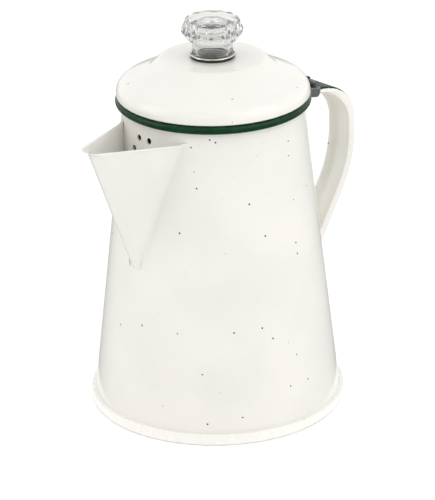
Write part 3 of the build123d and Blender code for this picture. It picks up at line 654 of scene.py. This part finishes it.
def strap_line(out_x):
    """Sampler of the handle's outer line: distance along it to (x, z, direction x, direction z)."""
    start_x = WALL_TOP_R - STRAP_START_SINK
    leg_end = toward((out_x, STRAP_KNEE_Z), STRAP_LEG, STRAP_LEG_LENGTH)
    corners = [
        (start_x, STRAP_TOP_Z + (out_x - start_x) * STRAP_TOP_SLOPE, 0),
        (out_x, STRAP_TOP_Z, STRAP_SHOULDER_R),
        (out_x, STRAP_KNEE_Z, STRAP_BELLY_R),
        (*leg_end, 0),
    ]
    points = subdivided(rounded(corners, LINE_STEPS), LINE_STEP)
    lengths = [0.0]
    for a, b in zip(points, points[1:]):
        lengths.append(lengths[-1] + hypot(b[0] - a[0], b[1] - a[1]))

    def sample(s):
        s = min(max(s, 0.0), lengths[-1])
        low, high = 0, len(lengths) - 1
        while high - low > 1:
            middle = (low + high) // 2
            if lengths[middle] <= s:
                low = middle
            else:
                high = middle
        a, b = points[low], points[high]
        t = (s - lengths[low]) / max(lengths[high] - lengths[low], 1e-9)
        step = unit((b[0] - a[0], b[1] - a[1]))
        return (a[0] + (b[0] - a[0]) * t, a[1] + (b[1] - a[1]) * t, step[0], step[1])

    return sample, lengths[-1]


def channel_line(half_w, face, edge_r):
    """Open line of the channel: down one flange, across the outer face and up the other flange."""
    return [
        (-half_w, STRAP_DEPTH, 0),
        (-half_w, face, edge_r),
        (half_w, face, edge_r),
        (half_w, STRAP_DEPTH, 0),
    ]


def strap_section():
    """Closed section of the channel, as (across, depth), with rolled free edges."""
    sheet = STRAP_SHEET
    outer = rounded(channel_line(STRAP_HALF_W, 0, STRAP_EDGE_R), FOLD_STEPS)
    inner = rounded(channel_line(STRAP_HALF_W - sheet, sheet, STRAP_FOLD)[::-1], FOLD_STEPS)
    middle = STRAP_HALF_W - sheet / 2
    section = []
    for side, line in ((1, outer), (-1, inner)):
        section += line[1:-1]
        for i in range(EDGE_STEPS + 1):
            a = pi * i / EDGE_STEPS
            across = side * (middle + sheet / 2 * cos(a))
            section.append((across, STRAP_DEPTH - sheet / 2 + sheet / 2 * sin(a)))
    return section


def depth_scale(s):
    """Share of the strap's full depth at a distance along it: thin under the rim, then deepening."""
    blend = min(max((s - STRAP_THIN_END) / STRAP_DEEPENING, 0.0), 1.0)
    blend = blend * blend * (3 - 2 * blend)
    thin = STRAP_THIN_TOP / STRAP_DEPTH
    return thin + (1 - thin) * blend


def strap_point(sample, s, across, depth):
    """Point of the strap at a distance along its line; only the flanges change with the strap's depth."""
    x, z, dx, dz = sample(s)
    if depth > STRAP_FOLD:
        flange = depth_scale(s) * STRAP_DEPTH - STRAP_FOLD
        depth = STRAP_FOLD + (depth - STRAP_FOLD) * flange / (STRAP_DEPTH - STRAP_FOLD)
    return (x + dz * depth, across, z - dx * depth)


def where_meets(sample, across, depth, s_out, s_in):
    """Distance along the strap where this line of it enters the wall, a little under its surface."""
    for _ in range(HALVINGS):
        s = (s_out + s_in) / 2
        p = strap_point(sample, s, across, depth)
        if hypot(p[0], p[1]) > wall_r(p[2]) - STRAP_WELD_SINK:
            s_out = s
        else:
            s_in = s
    return s_out


def strap_faces(count):
    """Faces of the strap from count points a station, with both ends closed."""
    faces = grid_faces(STRAP_STATIONS, count, False, True)
    first = [(i - FOLD_STEPS // 2) % count for i in range(count)]
    last = [(STRAP_STATIONS - 1) * count + i for i in first]
    faces += [f[::-1] for f in strip_between(first)] + strip_between(last)
    return [f[::-1] for f in faces]


def handle():
    """Pressed steel strap, a channel with its flanges turned in, welded under the rim and on the belly."""
    sample, length = strap_line(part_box("handle")[1].x)
    section = strap_section()
    spans = []
    for across, depth in section:
        start = where_meets(sample, across, depth, STRAP_TOP_PART * length, 0.0)
        end = where_meets(sample, across, depth, STRAP_FOOT_PART * length, length)
        spans.append((start, end))
    vertices = []
    for i in range(STRAP_STATIONS):
        t = i / (STRAP_STATIONS - 1)
        for (across, depth), (start, end) in zip(section, spans):
            vertices.append(strap_point(sample, start + (end - start) * t, across, depth))
    piece = new_piece("handle_strap", vertices, strap_faces(len(section)), 50.0)
    green = piece.data.attributes.new("green_face", "FLOAT", "POINT")
    values = [1.0 - min(1.0, depth / GREEN_DEPTH) for _, depth in section]
    green.data.foreach_set("value", values * STRAP_STATIONS)
    return piece


def knob_radius(girth_r, girth_z, lean):
    """Radius of the knob's crown at an angle: the turned body cut by concave flutes, arrises softened."""
    reach = girth_r - FLUTE_BITE + FLUTE_R

    def bent(angle, radius, height):
        pitch = 2 * pi / FLUTES
        off = (angle % pitch) - pitch / 2
        centre = reach - (height - girth_z) * lean
        inside = FLUTE_R * FLUTE_R - (centre * sin(off)) ** 2
        if inside <= 0:
            return radius
        flute = centre * cos(off) - sqrt(inside)
        gap = radius - flute
        return radius - 0.5 * (gap + sqrt(gap * gap + ARRIS_SOFTNESS * ARRIS_SOFTNESS))

    return bent


def knob():
    """Clear fluted knob, hollow from below."""
    low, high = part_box("knob")
    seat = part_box("knob_collar")[1].z - KNOB_SEAT_DROP
    top = high.z
    girth_r = high.x
    girth_z = top - KNOB_GIRTH_DROP
    flange_z = top - KNOB_FLANGE_DROP
    outline = [
        (AXIS_R, top, 0),
        (KNOB_CROWN_R, top - KNOB_CROWN_DROP, 30 * MM),
        (KNOB_TOP_R, top - KNOB_RIM_DROP, 0.7 * MM),
        (girth_r, girth_z, 0.9 * MM),
        (KNOB_UNDERSIDE_R, top - KNOB_UNDERSIDE_DROP, 1.0 * MM),
        (KNOB_NECK_R, top - KNOB_NECK_DROP, 1.6 * MM),
        (KNOB_NECK_R, flange_z, 0.8 * MM),
        (KNOB_FLANGE_R, flange_z - KNOB_FLANGE_EDGE, 0.7 * MM),
        (KNOB_FLANGE_R, seat, 0.4 * MM),
        (KNOB_SPIGOT_R, seat, 0),
        (KNOB_SPIGOT_R, low.z, 0.5 * MM),
        (KNOB_BORE_R, low.z, 0.4 * MM),
        (KNOB_BORE_R, top - KNOB_BORE_DROP, 3.2 * MM),
        (AXIS_R, top - KNOB_BORE_MIDDLE_DROP, 0),
    ]
    points = subdivided(rounded(outline, 8), 0.5 * MM)
    fluted = knob_radius(girth_r, girth_z, (girth_r - KNOB_TOP_R) / (top - girth_z))

    def bent(angle, radius, height):
        if height < top - FLUTES_END_DROP or radius < FLUTES_LEAST_R:
            return radius
        return fluted(angle, radius, height)

    return lathe("knob_clear", points[::-1], KNOB_COLUMNS, bent, closed=False)


def ferrule():
    """Polished ring round the knob's foot: an upright wall with a rolled top edge."""
    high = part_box("knob_collar")[1]
    outer = high.x
    seat = high.z - FERRULE_SEAT_DROP
    roll = FERRULE_ROLL
    wall_outside = outer - FERRULE_WALL_INSET
    wall_inside = outer - 2 * roll + FERRULE_LAP
    outline = [
        (FERRULE_INNER_R, seat, 0),
        (wall_outside, seat, 0.3 * MM),
        (wall_outside, high.z - 3.2 * roll, 0.2 * MM),
        (outer, high.z - 2.4 * roll, 0.3 * MM),
        (outer, high.z, roll),
        (wall_inside, high.z, roll * 0.8),
        (wall_inside, seat + FERRULE_FOOT, 0.2 * MM),
        (FERRULE_INNER_R, seat + FERRULE_FOOT, 0),
    ]
    return lathe("ferrule_ring", rounded(outline, 5), FERRULE_COLUMNS)


# =================================== studio ==================================
def direction(azimuth, elevation):
    a = radians(azimuth)
    e = radians(elevation)
    return Vector((sin(a) * cos(e), -cos(a) * cos(e), sin(e)))


def soft_light(name, azimuth, elevation, distance, width, height, power):
    data = bpy.data.lights.new(name, "AREA")
    data.shape = "RECTANGLE"
    data.size = width
    data.size_y = height
    data.energy = power
    light = bpy.data.objects.new(name, data)
    bpy.context.scene.collection.objects.link(light)
    light.location = direction(azimuth, elevation) * distance
    light.rotation_euler = direction(azimuth, elevation).to_track_quat("Z", "Y").to_euler()


def studio_world():
    """White surroundings, with a darker room behind the camera for the gloss to mirror."""
    world = bpy.data.worlds.new("studio")
    bpy.context.scene.world = world
    world.use_nodes = True
    tree = world.node_tree
    background = tree.nodes["Background"]
    path = tree.nodes.new("ShaderNodeLightPath")
    place = tree.nodes.new("ShaderNodeTexCoord")
    facing = tree.nodes.new("ShaderNodeVectorMath")
    facing.operation = "DOT_PRODUCT"
    facing.inputs[1].default_value = direction(VIEW_AZIMUTH + ROOM_TURN, ROOM_TILT)
    tree.links.new(place.outputs["Generated"], facing.inputs[0])
    room = tree.nodes.new("ShaderNodeMapRange")
    room.interpolation_type = "SMOOTHSTEP"
    room.inputs["From Min"].default_value = ROOM_EDGE[0]
    room.inputs["From Max"].default_value = ROOM_EDGE[1]
    room.inputs["To Min"].default_value = 1.0
    room.inputs["To Max"].default_value = ROOM_LEVEL
    tree.links.new(facing.outputs["Value"], room.inputs["Value"])
    level = tree.nodes.new("ShaderNodeMath")
    level.operation = "MAXIMUM"
    dimmer = tree.nodes.new("ShaderNodeMath")
    dimmer.operation = "MULTIPLY_ADD"
    tree.links.new(path.outputs["Is Transmission Ray"], dimmer.inputs[0])
    dimmer.inputs[1].default_value = GLASS_DIMMING
    tree.links.new(room.outputs["Result"], dimmer.inputs[2])
    tree.links.new(dimmer.outputs[0], level.inputs[0])
    tree.links.new(path.outputs["Is Camera Ray"], level.inputs[1])
    tree.links.new(level.outputs[0], background.inputs["Strength"])
    background.inputs["Color"].default_value = WHITE


def floor():
    corners = [(x * FLOOR_HALF, y * FLOOR_HALF, 0) for x, y in ((-1, -1), (1, -1), (1, 1), (-1, 1))]
    piece = new_piece("floor", corners, [(0, 1, 2, 3)])
    piece.data.materials.append(floor_material())


def reflected_ring():
    """Grey ring just over the floor that only the gloss and the glass can see, for their contrast."""
    vertices = []
    for radius in (RING_INNER, RING_OUTER):
        for j in range(RING_COLUMNS):
            angle = 2 * pi * j / RING_COLUMNS
            vertices.append((radius * cos(angle), radius * sin(angle), RING_Z))
    piece = new_piece("reflected_ring", vertices, grid_faces(2, RING_COLUMNS, False, True))
    s = Shade("ring_grey")
    s.fixed(Emission_Color=RING_LIGHT, Emission_Strength=RING_GLOW, Specular_IOR_Level=0.0)
    piece.data.materials.append(s.finish(s.mix(s.noise(0.3), RING_DARK, RING_PALE)))
    piece.visible_camera = False
    piece.visible_diffuse = False
    piece.visible_shadow = False


def camera():
    data = bpy.data.cameras.new("camera")
    data.lens = FOCAL_LENGTH_MM
    data.sensor_width = SENSOR_MM
    data.clip_end = CLIP_END
    piece = bpy.data.objects.new("camera", data)
    bpy.context.scene.collection.objects.link(piece)
    forward = (AIM - EYE).normalized()
    right = forward.cross(Vector((0, 0, 1))).normalized()
    up = right.cross(forward)
    rolled_right = cos(CAMERA_ROLL) * right + sin(CAMERA_ROLL) * up
    rolled_up = cos(CAMERA_ROLL) * up - sin(CAMERA_ROLL) * right
    turned = Matrix((rolled_right, rolled_up, -forward)).transposed()
    piece.matrix_world = Matrix.Translation(EYE) @ turned.to_4x4()
    bpy.context.scene.camera = piece


def studio():
    camera()
    floor()
    reflected_ring()
    studio_world()
    for name, turn, *rest in LIGHTS:
        soft_light(name, VIEW_AZIMUTH + turn, *rest)
    bpy.context.scene.view_settings.view_transform = "Standard"


# =================================== dressing ================================
def dress(piece, material):
    piece.data.materials.clear()
    piece.data.materials.append(material)


def stand_for(piece, body, node, material):
    dress(piece, material)
    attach(piece, body)
    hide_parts(node)


def main():
    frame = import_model()
    studio()
    cream = cream_enamel()
    stainless = steel("stainless", STAINLESS, 0.34, 0.48, (1.0, 0.08, 1.0), 0.006 * MM)
    collar_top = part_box("knob_collar")[1]
    polished = ferrule_steel(collar_top.x, collar_top.z)
    aluminium = spun_aluminium()
    finishes = {
        "cream_enamel": cream,
        "handle_enamel": handle_enamel(),
        "green_enamel": green_enamel(),
        "stainless": stainless,
        "ferrule_steel": polished,
        "clear_knob": clear_knob(),
        "pump_metal": aluminium,
    }
    slots = {part["node"]: part["material_slot"] for part in frame["record"]["subparts"]}
    for name, node in frame["nodes"].items():
        dress(node, finishes[slots[name]])
    dress(frame["nodes"]["base_pan"], foot_enamel())
    dress(frame["nodes"]["hinge_leaf"], painted_steel())
    stand_for(spout(), "pot", "spout", cream)
    stand_for(handle(), "pot", "handle", finishes["handle_enamel"])
    stand_for(knob(), "knob_body", "knob", finishes["clear_knob"])
    stand_for(ferrule(), "lid", "knob_collar", polished)


main()
